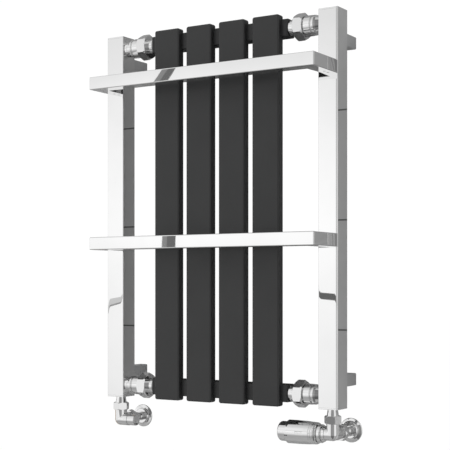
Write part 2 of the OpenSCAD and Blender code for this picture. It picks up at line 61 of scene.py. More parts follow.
class Graph:
    """Short calls for building a node material."""

    def __init__(self, name):
        self.mat = bpy.data.materials.new(name)
        self.mat.use_nodes = True
        self.tree = self.mat.node_tree
        self.shader = self.tree.nodes["Principled BSDF"]
        coords = self.tree.nodes.new("ShaderNodeTexCoord")
        self.place = coords.outputs["Object"]

    def set(self, **values):
        for key, value in values.items():
            self.shader.inputs[key.replace("_", " ")].default_value = value

    def link(self, a, b):
        self.tree.links.new(a, b)

    def noise(self, scale, detail=2.0, rough=0.5, stretch=(1, 1, 1)):
        mapping = self.tree.nodes.new("ShaderNodeMapping")
        mapping.inputs["Scale"].default_value = stretch
        self.link(self.place, mapping.inputs["Vector"])
        n = self.tree.nodes.new("ShaderNodeTexNoise")
        n.inputs["Scale"].default_value = scale
        n.inputs["Detail"].default_value = detail
        n.inputs["Roughness"].default_value = rough
        self.link(mapping.outputs["Vector"], n.inputs["Vector"])
        return n.outputs["Fac"]

    def ramp(self, fac, stops):
        r = self.tree.nodes.new("ShaderNodeValToRGB")
        while len(r.color_ramp.elements) < len(stops):
            r.color_ramp.elements.new(0.5)
        for e, (pos, value) in zip(r.color_ramp.elements, stops):
            e.position = pos
            e.color = (*value, 1) if isinstance(value, tuple) else (value, value, value, 1)
        self.link(fac, r.inputs["Fac"])
        return r.outputs["Color"]

    def span(self, fac, low, high):
        m = self.tree.nodes.new("ShaderNodeMapRange")
        m.inputs["From Min"].default_value = 0.3
        m.inputs["From Max"].default_value = 0.7
        m.inputs["To Min"].default_value = low
        m.inputs["To Max"].default_value = high
        self.link(fac, m.inputs["Value"])
        return m.outputs["Result"]

    def bump(self, layers):
        """layers: (height socket, strength, distance in metres); each sits on the one before."""
        normal = None
        for height, strength, distance in layers:
            b = self.tree.nodes.new("ShaderNodeBump")
            b.inputs["Strength"].default_value = strength
            b.inputs["Distance"].default_value = distance
            self.link(height, b.inputs["Height"])
            if normal is not None:
                self.link(normal, b.inputs["Normal"])
            normal = b.outputs["Normal"]
        self.link(normal, self.shader.inputs["Normal"])


def chrome(name, tint, rough, wave, wave_scale, grain):
    """wave: how far the plating's surface wanders; grain: depth in metres of the fine texture."""
    g = Graph(name)
    g.set(Metallic=1.0)
    smudge = g.noise(60.0, 5.0, 0.62)
    g.link(g.span(smudge, *rough), g.shader.inputs["Roughness"])
    tone = tuple(min(1.0, c * 1.02) for c in tint)
    g.link(g.ramp(g.noise(18.0, 3.0), [(0.35, tint), (0.65, tone)]), g.shader.inputs["Base Color"])
    g.bump([(g.noise(wave_scale, 1.0), wave, 0.0004), (g.noise(900.0, 3.0), 0.02, grain)])
    return g.mat


def powder_coat(name):
    g = Graph(name)
    fleck = g.noise(1500.0, 2.0, 0.6)
    cloud = g.noise(14.0, 3.0)
    dark, light = (0.017, 0.0175, 0.018), (0.023, 0.0235, 0.024)
    g.link(g.ramp(fleck, [(0.3, dark), (0.7, light)]), g.shader.inputs["Base Color"])
    g.link(g.span(cloud, 0.4, 0.48), g.shader.inputs["Roughness"])
    g.set(Specular_IOR_Level=0.5)
    g.bump([(g.noise(420.0, 2.0, 0.5), 0.12, 0.0003), (fleck, 0.1, 0.0001)])
    return g.mat


def turned_metal(name, tint, low, high):
    g = Graph(name)
    g.set(Metallic=1.0)
    g.link(g.span(g.noise(300.0, 4.0, 0.6), low, high), g.shader.inputs["Roughness"])
    dark = tuple(c * 0.86 for c in tint)
    g.link(g.ramp(g.noise(90.0, 4.0), [(0.3, dark), (0.7, tint)]), g.shader.inputs["Base Color"])
    g.bump([(g.noise(2600.0, 2.0, 0.5, (1, 0.15, 0.15)), 0.15, 0.0001)])
    return g.mat


def moulded(name, tint, low, high):
    g = Graph(name)
    g.link(g.span(g.noise(220.0, 3.0), low, high), g.shader.inputs["Roughness"])
    dark = tuple(c * 0.85 for c in tint)
    g.link(g.ramp(g.noise(60.0, 3.0), [(0.3, dark), (0.7, tint)]), g.shader.inputs["Base Color"])
    g.bump([(g.noise(1800.0, 2.0), 0.15, 0.0001)])
    return g.mat


MATERIALS = {
    "chrome_tube": chrome("chrome_tube", (0.94, 0.94, 0.94), rough=(0.006, 0.014),
                          wave=0.008, wave_scale=7.0, grain=0.000004),
    "anthracite_paint": powder_coat("anthracite_paint"),
    "chrome_fitting": chrome("chrome_fitting", (0.9, 0.9, 0.9), rough=(0.02, 0.05),
                             wave=0.06, wave_scale=90.0, grain=0.00002),
    "head_chrome": chrome("head_chrome", (0.9, 0.9, 0.9), rough=(0.03, 0.06),
                          wave=0.04, wave_scale=70.0, grain=0.00002),
    "bracket_chrome": chrome("bracket_chrome", (0.85, 0.855, 0.86), rough=(0.1, 0.16),
                             wave=0.08, wave_scale=40.0, grain=0.0001),
    "plain_steel": turned_metal("plain_steel", (0.56, 0.56, 0.55), 0.25, 0.4),
    "bare_brass": turned_metal("bare_brass", (0.72, 0.53, 0.25), 0.22, 0.36),
    "seal_rubber": moulded("seal_rubber", (0.022, 0.022, 0.022), 0.6, 0.8),
    "black_plastic": moulded("black_plastic", (0.03, 0.03, 0.03), 0.4, 0.55),
    "sensor_plastic": moulded("sensor_plastic", (0.72, 0.72, 0.69), 0.4, 0.5),
}
slot_of = {s["node"]: s["material_slot"] for s in frame["record"]["subparts"]}
body_of = {n: b for b, members in frame["record"]["behaviour"]["bodies"].items() for n in members}
for name, obj in nodes.items():
    obj.data.materials.clear()
    obj.data.materials.append(MATERIALS[slot_of[name]])


# ---------------------------------------------------------------- mesh helpers, all in millimetres

def between(points, x):
    """Straight-line reading of a list of (x, value)."""
    if x <= points[0][0]:
        return points[0][1]
    for (x0, y0), (x1, y1) in zip(points, points[1:]):
        if x <= x1:
            return y0 + (y1 - y0) * (x - x0) / (x1 - x0)
    return points[-1][1]


def box_mm(node):
    low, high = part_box(node)
    return low / MM, high / MM


def new_object(name, bm):
    bmesh.ops.recalc_face_normals(bm, faces=bm.faces)
    mesh = bpy.data.meshes.new(name)
    bm.to_mesh(mesh)
    bm.free()
    obj = bpy.data.objects.new(name, mesh)
    bpy.context.scene.collection.objects.link(obj)
    return obj


def place(bm, matrix):
    bmesh.ops.transform(bm, matrix=matrix, verts=bm.verts)
    if matrix.determinant() < 0:
        bmesh.ops.reverse_faces(bm, faces=bm.faces)
    return bm


def joined(*parts):
    """One bmesh out of several."""
    out = bmesh.new()
    for bm in parts:
        mesh = bpy.data.meshes.new("part")
        bm.to_mesh(mesh)
        bm.free()
        out.from_mesh(mesh)
        bpy.data.meshes.remove(mesh)
    return out


def rounded(w, d, r, n=8):
    """Rectangle with arcs of n steps at its corners."""
    points = []
    for c, (sx, sy) in enumerate(((1, 1), (-1, 1), (-1, -1), (1, -1))):
        for i in range(n + 1):
            a = math.radians(90 * (c + i / n))
            points.append((sx * (w / 2 - r) + r * math.cos(a), sy * (d / 2 - r) + r * math.sin(a)))
    return points


def prism(outline, low, high):
    """Outline drawn in X and Y, raised from low to high along Z."""
    bm = bmesh.new()
    rings = [[bm.verts.new((x, y, z)) for x, y in outline] for z in (low, high)]
    n = len(outline)
    for i in range(n):
        bm.faces.new((rings[0][i], rings[0][(i + 1) % n], rings[1][(i + 1) % n], rings[1][i]))
    bm.faces.new(rings[0][::-1])
    bm.faces.new(rings[1])
    return bm


def filleted(points, n=5):
    """Closed outline whose points may carry a third number, the radius that rounds that corner."""
    out = []
    for i, p in enumerate(points):
        if len(p) < 3:
            out.append(Vector(p[:2]))
            continue
        here = Vector(p[:2])
        before = Vector(points[i - 1][:2]) - here
        after = Vector(points[(i + 1) % len(points)][:2]) - here
        half = before.angle(after) / 2
        reach = min(p[2] / math.tan(half), before.length * 0.49, after.length * 0.49)
        radius = reach * math.tan(half)
        middle = here + (before.normalized() + after.normalized()).normalized() * radius / math.sin(half)
        a = here + before.normalized() * reach - middle
        b = here + after.normalized() * reach - middle
        turn = math.atan2(a.x * b.y - a.y * b.x, a.dot(b))
        for k in range(n + 1):
            c, s = math.cos(turn * k / n), math.sin(turn * k / n)
            out.append(middle + Vector((a.x * c - a.y * s, a.x * s + a.y * c)))
    return [(v.x, v.y) for v in out]


def lathe(points, steps=96, n=5):
    """Closed outline of (radius, height[, corner radius]) turned about Z."""
    outline = filleted(points, n)
    bm = bmesh.new()
    rings = []
    for r, z in outline:
        if r < 1e-6:
            rings.append([bm.verts.new((0, 0, z))])
        else:
            turns = [math.tau * k / steps for k in range(steps)]
            rings.append([bm.verts.new((r * math.cos(t), r * math.sin(t), z)) for t in turns])
    for i, ring in enumerate(rings):
        other = rings[(i + 1) % len(rings)]
        if len(ring) == 1 and len(other) == 1:
            continue
        for k in range(steps):
            j = (k + 1) % steps
            if len(ring) == 1:
                bm.faces.new((ring[0], other[k], other[j]))
            elif len(other) == 1:
                bm.faces.new((ring[k], ring[j], other[0]))
            else:
                bm.faces.new((ring[k], ring[j], other[j], other[k]))
    return bm


def rod(r, low, high, steps=96, corner=0.0):
    """Solid cylinder, its rims rounded by the corner radius."""
    if corner:
        return lathe([(0, low), (r, low, corner), (r, high, corner), (0, high)], steps)
    return lathe([(0, low), (r, low), (r, high), (0, high)], steps)


def bevel(obj, width, segments=3, angle=35):
    """Rounds the edges that are sharper than the angle; the width is in millimetres."""
    m = obj.modifiers.new("bevel", "BEVEL")
    m.width = width * MM
    m.segments = segments
    m.limit_method = "ANGLE"
    m.angle_limit = math.radians(angle)
    m.harden_normals = True
    m.miter_outer = "MITER_ARC"
    m.use_clamp_overlap = True


def finish_piece(obj, replaced, body=None, slot=None):
    """Turns a piece's millimetres into metres and gives it its body, CAD nodes, finish and shading."""
    obj.data.transform(Matrix.Scale(MM, 4))
    for p in obj.data.polygons:
        p.use_smooth = True
    m = obj.modifiers.new("normals", "WEIGHTED_NORMAL")
    m.keep_sharp = True
    m.weight = 80
    slot = slot or slot_of[replaced[0]]
    obj.data.materials.clear()
    obj.data.materials.append(MATERIALS[slot])
    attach(obj, body or body_of[replaced[0]])
    if replaced:
        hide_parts(*replaced)


def combine(base, other, how):
    """Exact boolean of two bmeshes."""
    a, b = new_object("base", base), new_object("tool", other)
    m = a.modifiers.new("cut", "BOOLEAN")
    m.operation = how
    m.solver = "EXACT"
    m.object = b
    bpy.context.view_layer.update()
    mesh = bpy.data.meshes.new_from_object(a.evaluated_get(bpy.context.evaluated_depsgraph_get()))
    out = bmesh.new()
    out.from_mesh(mesh)
    for o in (a, b):
        old = o.data
        bpy.data.objects.remove(o)
        bpy.data.meshes.remove(old)
    bpy.data.meshes.remove(mesh)
    bmesh.ops.remove_doubles(out, verts=out.verts, dist=1e-4)
    return out


def cut(base, *tools):
    for t in tools:
        base = combine(base, t, "DIFFERENCE")
    return base


def mark_sharp(obj, angle=35):
    """Keeps the hard edges of a piece that has no bevel."""
    mesh = obj.data
    bm = bmesh.new()
    bm.from_mesh(mesh)
    for e in bm.edges:
        if len(e.link_faces) == 2 and e.calc_face_angle(0) > math.radians(angle):
            e.smooth = False
    bm.to_mesh(mesh)
    bm.free()


# Turns for shapes that are drawn along Z. The last two are for outlines drawn in depth and height, which run
# along X, and in width and height, which run along Y.
ALONG_X = Matrix.Rotation(math.radians(90), 4, "Y")
ALONG_Y = Matrix.Rotation(math.radians(-90), 4, "X")
TO_CENTRE = Matrix.Rotation(math.radians(-90), 4, "Y")
MIRROR = Matrix.Scale(-1, 4, (1, 0, 0))
DEPTH_AND_HEIGHT = Matrix(((0, 0, 1, 0), (1, 0, 0, 0), (0, 1, 0, 0), (0, 0, 0, 1)))
WIDTH_AND_HEIGHT = Matrix(((1, 0, 0, 0), (0, 0, 1, 0), (0, 1, 0, 0), (0, 0, 0, 1)))


def corner_matrix(corner, z):
    """From a shape drawn for the upper right corner, with Z at the corner's height."""
    m = Matrix.Translation((0, 0, z if corner.startswith("top") else -z))
    return MIRROR @ m if corner.endswith("left") else m


# ---------------------------------------------------------------- columns

col_low, col_high = box_mm("column_right")
plate_t = box_mm("column_end_plates")[1].z - col_high.z
col_w = col_high.x - col_low.x
col_x, col_y = (col_low.x + col_high.x) / 2, (col_low.y + col_high.y) / 2
head_low, head_high = box_mm("header_top")
header_y, header_z = (head_low.y + head_high.y) / 2, (head_low.z + head_high.z) / 2
COLUMN_R = 1.0
COLUMN_WALL = 1.5
UNION_HOLE_R = 12.05
TAIL_HOLE_R = 8.65
VENT_HOLE_R = 5.05
# lean in degrees of a column's flats by the distance from the corner's arc
CROWN = [(0.0, 0.55), (1.5, 0.32), (3.4, 0.1), (5.0, 0.0)]


def crowned(w, r, n=6):
    """Square outline whose flats fall away slightly near the corners, by the angles in CROWN."""
    steps = [6.0 - 0.5 * i for i in range(13)]
    fall = [(steps[0], 0.0)]
    for s0, s1 in zip(steps, steps[1:]):
        fall.append((s1, fall[-1][1] + (s0 - s1) * math.tan(math.radians(between(CROWN, (s0 + s1) / 2)))))
    drop = fall[-1][1]
    side = [(w / 2 - d, w / 2 - r - drop - s) for s, d in fall[:-1]]
    middle = w / 2 - r - drop
    turns = [math.radians(90 * i / n) for i in range(n + 1)]
    arc = [(middle + r * math.cos(t), middle + r * math.sin(t)) for t in turns]
    quarter = side + arc + [(y, x) for x, y in side[::-1]]
    points = []
    for k in range(4):
        c, s = ((1, 0), (0, 1), (-1, 0), (0, -1))[k]
        points += [(c * x - s * y, s * x + c * y) for x, y in quarter]
    return points


for side in SIDES:
    tube = prism(crowned(col_w, COLUMN_R), col_low.z, col_high.z)
    bore_w = col_w - 2 * COLUMN_WALL
    tools = [prism(rounded(bore_w, bore_w, 0.5, 4), col_low.z - 1, col_high.z + 1)]
    for k in (-1, 1):
        hole = place(rod(UNION_HOLE_R, -4, 4, 48), ALONG_X)
        tools.append(place(hole, Matrix.Translation((col_low.x - col_x, header_y - col_y, k * header_z))))
    tube = place(cut(tube, *tools), Matrix.Translation((col_x, col_y, 0)))
    if side == "left":
        vent_z = sum(v.z for v in box_mm("air_vent")) / 2
        place(tube, MIRROR)
        hole = place(rod(VENT_HOLE_R, -4, 4, 48), ALONG_Y)
        tube = cut(tube, place(hole, Matrix.Translation((-col_x, col_high.y, vent_z))))
    obj = new_object("column_tube_" + side, tube)
    mark_sharp(obj)
    finish_piece(obj, ["column_" + side])

plates = []
for side in SIDES:
    for k in (-1, 1):
        plate = prism(crowned(col_w, COLUMN_R), 0, plate_t)
        if k < 0:
            plate = cut(plate, rod(TAIL_HOLE_R, -1, plate_t + 1, 48))
        x = col_x if side == "right" else -col_x
        z = col_high.z if k > 0 else -col_high.z - plate_t
        plates.append(place(plate, Matrix.Translation((x, col_y, z))))
obj = new_object("column_caps", joined(*plates))
bevel(obj, 0.5)
finish_piece(obj, ["column_end_plates"])


# ---------------------------------------------------------------- panels and headers

PANEL_CORNER_R = 4.0
PANEL_EDGE_R = 3.0
HEADER_R = 3.0
HEADER_WALL = 1.5
HEADER_PLATE_T = 3.0
PORT_R = 9
header_w, header_h = head_high.y - head_low.y, head_high.z - head_low.z


def header_matrix(z):
    """For a header's section that is drawn in depth and height and runs along X."""
    return Matrix.Translation((0, header_y, z)) @ DEPTH_AND_HEIGHT


for n in (1, 2, 3, 4):
    low, high = box_mm(f"panel_{n}")
    depth = high.y - low.y
    outline = rounded(high.x - low.x, high.z - low.z, PANEL_CORNER_R, 8)
    bm = place(prism(outline, -depth / 2, depth / 2), Matrix.Rotation(math.radians(90), 4, "X"))
    rims = [e for e in bm.edges if abs(e.verts[0].co.y - e.verts[1].co.y) < 1e-4]
    bmesh.ops.bevel(bm, geom=rims, offset=PANEL_EDGE_R, offset_type="OFFSET", segments=7, profile=0.5,
                    affect="EDGES")
    bm = place(bm, Matrix.Translation((low + high) / 2))
    for k in (-1, 1):
        seat = prism(rounded(header_w, header_h, HEADER_R, 6), low.x - 5, high.x + 5)
        bm = cut(bm, place(seat, header_matrix(k * header_z)))
    obj = new_object(f"panel_shell_{n}", bm)
    mark_sharp(obj, 50)
    finish_piece(obj, [f"panel_{n}"])

for k, node in ((1, "header_top"), (-1, "header_bottom")):
    tube = prism(rounded(header_w, header_h, HEADER_R, 8), head_low.x, head_high.x)
    bore = rounded(header_w - 2 * HEADER_WALL, header_h - 2 * HEADER_WALL, HEADER_R - HEADER_WALL, 6)
    tube = cut(tube, prism(bore, head_low.x - 1, head_high.x + 1))
    obj = new_object(node + "_tube", place(tube, header_matrix(k * header_z)))
    mark_sharp(obj)
    finish_piece(obj, [node])
plates = []
for c in CORNERS:
    plate = prism(rounded(header_w, header_h, HEADER_R, 8), head_high.x, head_high.x + HEADER_PLATE_T)
    plate = cut(plate, rod(PORT_R, head_high.x - 1, head_high.x + 5, 48))
    plates.append(place(plate, corner_matrix(c, header_z) @ header_matrix(0)))
obj = new_object("header_caps", joined(*plates))
bevel(obj, 0.8)
finish_piece(obj, ["header_end_plates"])


# ---------------------------------------------------------------- unions

def hexagon(flats, low, high, chamfer, flat_up=False):
    """Hexagonal nut with both faces turned down; a corner lies along +X, or a flat with flat_up."""
    r = flats / math.sqrt(3)
    turns = [math.radians(60 * i + (30 if flat_up else 0)) for i in range(6)]
    outline = [(r * math.cos(t), r * math.sin(t)) for t in turns]
    cone = lathe([(0, low), (flats / 2 - 0.1, low), (r + 0.05, low + chamfer), (r + 0.05, high - chamfer),
                  (flats / 2 - 0.1, high), (0, high)], 96)
    return combine(prism(outline, low, high), cone, "INTERSECT")


UNION_TAIL_R = 13.8
UNION_FLANGE_R = 15.8
COLLAR_R = 18.4
tail_low, tail_high = box_mm("union_tail_top_right")
nut_low, nut_high = box_mm("union_nut_top_right")
collar_low, collar_high = box_mm("union_collar_top_right")
for c in CORNERS:
    m = corner_matrix(c, header_z) @ Matrix.Translation((0, header_y, 0)) @ ALONG_X
    a, b = tail_low.x, tail_high.x
    tail = lathe([
        (PORT_R, a), (UNION_TAIL_R - 1, a), (UNION_TAIL_R, a + 1.5, 0.6), (UNION_TAIL_R, b - 4),
        (UNION_FLANGE_R, b - 4, 0.3), (UNION_FLANGE_R, b, 0.3), (PORT_R, b)])
    obj = new_object("union_tailpiece_" + c, place(tail, m))
    mark_sharp(obj)
    finish_piece(obj, ["union_tail_" + c])

    a, b = nut_low.x, nut_high.x
    nut = hexagon(nut_high.y - nut_low.y, a, b, 3.0)
    nut = cut(nut, rod(UNION_TAIL_R + GAP, a - 1, b + 1, 64), rod(UNION_FLANGE_R + GAP, a + 4, b + 1, 64))
    obj = new_object("union_ring_nut_" + c, place(nut, m))
    bevel(obj, 0.35, 3, 25)
    finish_piece(obj, ["union_nut_" + c])

    a, b = collar_low.x, collar_high.x
    end = nut_high.x + 0.4
    groove_r = COLLAR_R - 2.4
    collar = lathe([
        (PORT_R, a), (UNION_FLANGE_R, a), (UNION_FLANGE_R, end), (groove_r, end), (groove_r, end + 1.1, 0.3),
        (COLLAR_R, end + 1.1, 0.8), (COLLAR_R, end + 14.1, 1.2), (groove_r, end + 14.3, 0.5),
        (groove_r, end + 16.3, 0.5), (COLLAR_R - 0.2, end + 16.6, 0.9), (COLLAR_R - 0.5, end + 20.4, 1.5),
        (COLLAR_R - 1.8, end + 23.9, 1.5), (COLLAR_R - 3.8, col_low.x), (UNION_HOLE_R - GAP, col_low.x),
        (UNION_HOLE_R - GAP, b), (PORT_R, b)])
    obj = new_object("union_sleeve_" + c, place(collar, m))
    mark_sharp(obj)
    finish_piece(obj, ["union_collar_" + c])


# ---------------------------------------------------------------- towel rails and brackets

RAIL_WALL = 1.5
RAIL_EDGE_R = 1.8
GRUB_HOLE_R = 2.55
for node in ("towel_rail_upper", "towel_rail_lower"):
    low, high = box_mm(node)
    depth = high.z - low.z + 1
    outline = [
        (low.x, high.y), (low.x, low.y), (high.x, low.y), (high.x, high.y), (high.x - depth, high.y),
        (high.x - depth, low.y + depth), (low.x + depth, low.y + depth), (low.x + depth, high.y)]
    bm = prism(outline, low.z, high.z)
    rims = [e for e in bm.edges if any(abs(v.co.y - high.y) >= 0.01 for v in e.verts)]
    bmesh.ops.bevel(bm, geom=rims, offset=RAIL_EDGE_R, offset_type="OFFSET", segments=5, profile=0.5,
                    affect="EDGES", miter_outer="ARC", clamp_overlap=True)
    for s in (-1, 1):
        x = s * (high.x - depth / 2)
        half = depth / 2 - RAIL_WALL
        back, front = high.y + 2, high.y - 22
        socket = prism([(x - half, front), (x + half, front), (x + half, back), (x - half, back)],
                       low.z + RAIL_WALL, high.z - RAIL_WALL)
        screw = rod(GRUB_HOLE_R, low.z - 2, low.z + 3, 32)
        bm = cut(bm, socket, place(screw, Matrix.Translation((x, high.y - 7, 0))))
    obj = new_object(node.replace("towel_rail", "rail_bar"), bm)
    mark_sharp(obj)
    finish_piece(obj, [node])

BRACKET_WALL = 2
BRACKET_GRUB_Y = -22
for c in CORNERS:
    node = "bracket_sleeve_" + c
    low, high = box_mm(node)
    w, h = high.x - low.x, high.z - low.z
    x, z = (low.x + high.x) / 2, (low.z + high.z) / 2
    bore = rounded(w - 2 * BRACKET_WALL, h - 2 * BRACKET_WALL, 0.8, 4)
    tube = cut(prism(rounded(w, h, 2.0, 6), low.y, high.y), prism(bore, low.y - 1, high.y + 1))
    tube = place(tube, Matrix.Translation((x, 0, z)) @ WIDTH_AND_HEIGHT)
    hole = place(rod(GRUB_HOLE_R, low.z - 1, low.z + 4, 32), Matrix.Translation((x, BRACKET_GRUB_Y, 0)))
    obj = new_object("bracket_tube_" + c, cut(tube, hole))
    mark_sharp(obj)
    finish_piece(obj, [node])


# ---------------------------------------------------------------- valves

sleeve_low, sleeve_high = box_mm("pipe_sleeve_right")
valve_z = (sleeve_low.z + sleeve_high.z) / 2
WALL = -col_y      # from the valve's centre line to the wall


def valve_matrix(side):
    """From a shape drawn around the centre of the right valve's elbow."""
    m = Matrix.Translation((col_x, col_y, valve_z))
    return MIRROR @ m if side == "left" else m


VALVE_R = 11.5
INLET_R = 10.4
WATER_R = 6.5
PIPE_HOLE_R = 7.6
SLEEVE_R = 8.6
INSERT_HOLE_R = 8.05
TAIL_FLANGE_R = 11.4
TAIL_R = 10.5
NUT_FLATS = 27
TAIL_NUT_TURN = 40
ROSETTE_R = 22.2
COLLAR_END = 8.2
for side in SIDES:
    m = valve_matrix(side)
    neck = 13.0 if side == "right" else 20.5
    ball = bmesh.new()
    bmesh.ops.create_uvsphere(ball, u_segments=96, v_segments=48, radius=VALVE_R + 0.02)
    body = combine(rod(VALVE_R, 0, 26, corner=0.5), ball, "UNION")
    body = combine(body, place(rod(VALVE_R, 0, 25, corner=0.5), ALONG_Y), "UNION")
    body = combine(body, place(rod(INLET_R, 20, 33, corner=0.4), ALONG_Y), "UNION")
    body = combine(body, place(rod(VALVE_R - 0.04, 0, neck, corner=0.5), TO_CENTRE), "UNION")
    body = cut(body, rod(WATER_R, 6.6, 30, 64), place(rod(WATER_R, 6.6, 40, 64), ALONG_Y),
               place(rod(PIPE_HOLE_R, 12, 40, 64), ALONG_Y),
               place(rod(INSERT_HOLE_R, -7, neck + 2, 64), TO_CENTRE))
    obj = new_object("valve_casting_" + side, place(body, m))
    mark_sharp(obj)
    finish_piece(obj, ["valve_body_" + side])

    tail = lathe([
        (WATER_R, 26.2), (TAIL_FLANGE_R, 26.2), (TAIL_FLANGE_R, 29), (TAIL_R, 29), (TAIL_R, 33.6, 0.4),
        (9.2, 42, 0.3), (9, 45), (TAIL_HOLE_R - GAP, 45), (TAIL_HOLE_R - GAP, 53), (WATER_R, 53)])
    obj = new_object("valve_tailpiece_" + side, place(tail, m))
    mark_sharp(obj)
    finish_piece(obj, ["valve_tail_" + side])

    nut = place(hexagon(NUT_FLATS, 18.7, 33, 2.0, True), Matrix.Rotation(math.radians(TAIL_NUT_TURN), 4, "Z"))
    nut = cut(nut, rod(TAIL_R + 0.1, 10, 40, 64), rod(VALVE_R + GAP, 10, 29 + GAP, 64))
    obj = new_object("tail_ring_nut_" + side, place(nut, m))
    bevel(obj, 0.3, 3, 25)
    finish_piece(obj, ["valve_tail_nut_" + side])

    nut = hexagon(NUT_FLATS, 25.3, 37.8, 1.8, side == "left")
    nut = cut(nut, rod(PIPE_HOLE_R, 20, 40, 64), rod(INLET_R + GAP, 20, 36, 64))
    obj = new_object("pipe_nut_" + side, place(nut, m @ ALONG_Y))
    bevel(obj, 0.3, 3, 25)
    finish_piece(obj, ["compression_nut_" + side])

    sleeve = lathe([(PIPE_HOLE_R, 38), (SLEEVE_R, 38, 0.3), (SLEEVE_R, WALL), (PIPE_HOLE_R, WALL)])
    obj = new_object("pipe_cover_" + side, place(sleeve, m @ ALONG_Y))
    mark_sharp(obj)
    finish_piece(obj, ["pipe_sleeve_" + side])

    rosette = lathe([
        (ROSETTE_R - 1, 0), (ROSETTE_R, 0, 0.3), (ROSETTE_R, 0.9, 0.5), (ROSETTE_R - 0.8, 1.8, 0.6),
        (17.2, 2.8, 2.0), (15.4, 3.6, 1.0), (14.8, 5.2, 0.8), (14.6, 7.6, 0.4), (13.9, COLLAR_END, 0.4),
        (SLEEVE_R + GAP, COLLAR_END, 0.4), (SLEEVE_R + GAP, COLLAR_END - 1), (13.5, COLLAR_END - 1, 0.3),
        (13.7, 4.4, 0.5), (15.4, 2.6, 0.8), (ROSETTE_R - 1.6, 0.8)])
    flip = Matrix.Translation((0, WALL, 0)) @ Matrix.Rotation(math.radians(90), 4, "X")
    obj = new_object("wall_plate_" + side, place(rosette, m @ flip))
    mark_sharp(obj)
    finish_piece(obj, ["rosette_" + side])


# ---------------------------------------------------------------- thermostatic head

right = valve_matrix("right") @ TO_CENTRE
ring_start, ring_end = 13.2, 27.3
ring = lathe([
    (INSERT_HOLE_R, ring_start), (11.7, ring_start, 0.5), (14.7, 16.6, 0.4), (14.7, 17.0, 0.2),
    (12.4, 17.3, 0.2), (12.4, 18.7, 0.2), (15.8, 19.0, 0.3), (16.4, 19.9, 0.6), (16.4, 25.1, 0.6),
    (15.8, 25.9, 0.4), (14.0, 26.1), (14.0, ring_end), (INSERT_HOLE_R, ring_end)], 128)
obj = new_object("head_ring", place(ring, right))
mark_sharp(obj)
finish_piece(obj, ["trv_connecting_ring"])

house_start, house_end, big = 27.5, 86.7, 21.0
skin = [
    (9, house_start), (17.6, house_start, 0.4), (18.5, house_start + 0.5, 0.6),
    (19.1, house_start + 1.6, 0.8)]
for groove in (1, 2, 3):
    z = house_start + 4 * groove
    r = 19.45 + 0.16 * groove
    skin += [
        (r - 0.08, z - 1.0, 0.3), (r - 0.95, z - 0.45, 0.3), (r - 0.9, z + 0.45, 0.3),
        (r + 0.05, z + 1.0, 0.3)]
skin += [
    (20.6, house_start + 22, 20), (big, house_start + 38, 20), (big, house_end - 0.2, 0.7),
    (20.4, house_end, 0.3), (17.2, house_end, 0.3), (17.2, house_start + 8), (9, house_start + 8)]
housing = lathe(skin, 160)
obj = new_object("head_housing", place(housing, right))
mark_sharp(obj)
finish_piece(obj, ["trv_housing"])


def inlay(outline, proud, depth):
    """Thin mark let into the housing's skin; outline: (distance along the head, angle above the front)."""
    low, high = big - depth, big + proud
    end = house_end - 0.25
    ring = lathe([(low, 60), (high, 60), (high, end), (low, end)], 360)
    wedge = bmesh.new()
    corners = [(d, math.radians(a)) for d, a in outline]
    rims = []
    for r in (big - 2, big + 2):
        rims.append([wedge.verts.new((r * math.sin(a), -r * math.cos(a), d)) for d, a in corners])
    count = len(outline)
    for i in range(count):
        wedge.faces.new((rims[0][i], rims[0][(i + 1) % count], rims[1][(i + 1) % count], rims[1][i]))
    wedge.faces.new(rims[0][::-1])
    wedge.faces.new(rims[1])
    bmesh.ops.triangulate(wedge, faces=wedge.faces)
    bmesh.ops.recalc_face_normals(wedge, faces=wedge.faces)
    return combine(wedge, ring, "INTERSECT")


def bar(d0, d1, a0, a1):
    """Outline of a straight mark between two distances and two angles."""
    return [(d0, a0), (d1, a0), (d1, a1), (d0, a1)]


pointer = inlay([(87, 43), (80.8, 43), (83.4, 27.5)], 0.06, 0.3)
dashes = [inlay(bar(d, d + 2.8, -15.3, -10.2), 0.06, 0.3) for d in (80.4, 83.7)]
line = inlay([(80.2, 18.3), (80.7, 18.5), (83.5, 8.4), (83.0, 8.2)], 0.04, 0.3)
marks = (("head_pointer", [pointer] + dashes, "black_plastic"), ("head_tick", [line], "sensor_plastic"))
for name, parts, slot in marks:
    obj = new_object(name, place(joined(*parts), right))
    mark_sharp(obj)
    finish_piece(obj, [], body_of["trv_housing"], slot)

dial_r, dial_end = 17.7, 104.0
dial_low = house_end + 0.4
dial = lathe([
    (0, dial_end), (dial_r, dial_end, 4.4), (dial_r, dial_low, 0.3), (16.5, dial_low),
    (16.5, house_start + 10), (14.7, house_start + 10), (14.7, dial_end - 6, 2), (0, dial_end - 6)], 160, 10)
obj = new_object("head_dial", place(dial, right))
mark_sharp(obj)
finish_piece(obj, ["trv_dial"])


# ---------------------------------------------------------------- lockshield cap, air vent

left = valve_matrix("left") @ TO_CENTRE
cap_r, cap_bore_r, cap_start, cap_end = 10.9, 9.45, 20.8, 37
cap = lathe([
    (cap_bore_r, cap_start), (cap_r, cap_start, 0.3), (cap_r, cap_end, 0.9), (0, cap_end), (0, cap_end - 1.5),
    (cap_bore_r, cap_end - 1.5, 0.5)], 128)
obj = new_object("lockshield_cover", place(cap, left))
mark_sharp(obj)
finish_piece(obj, ["lockshield_cap"])

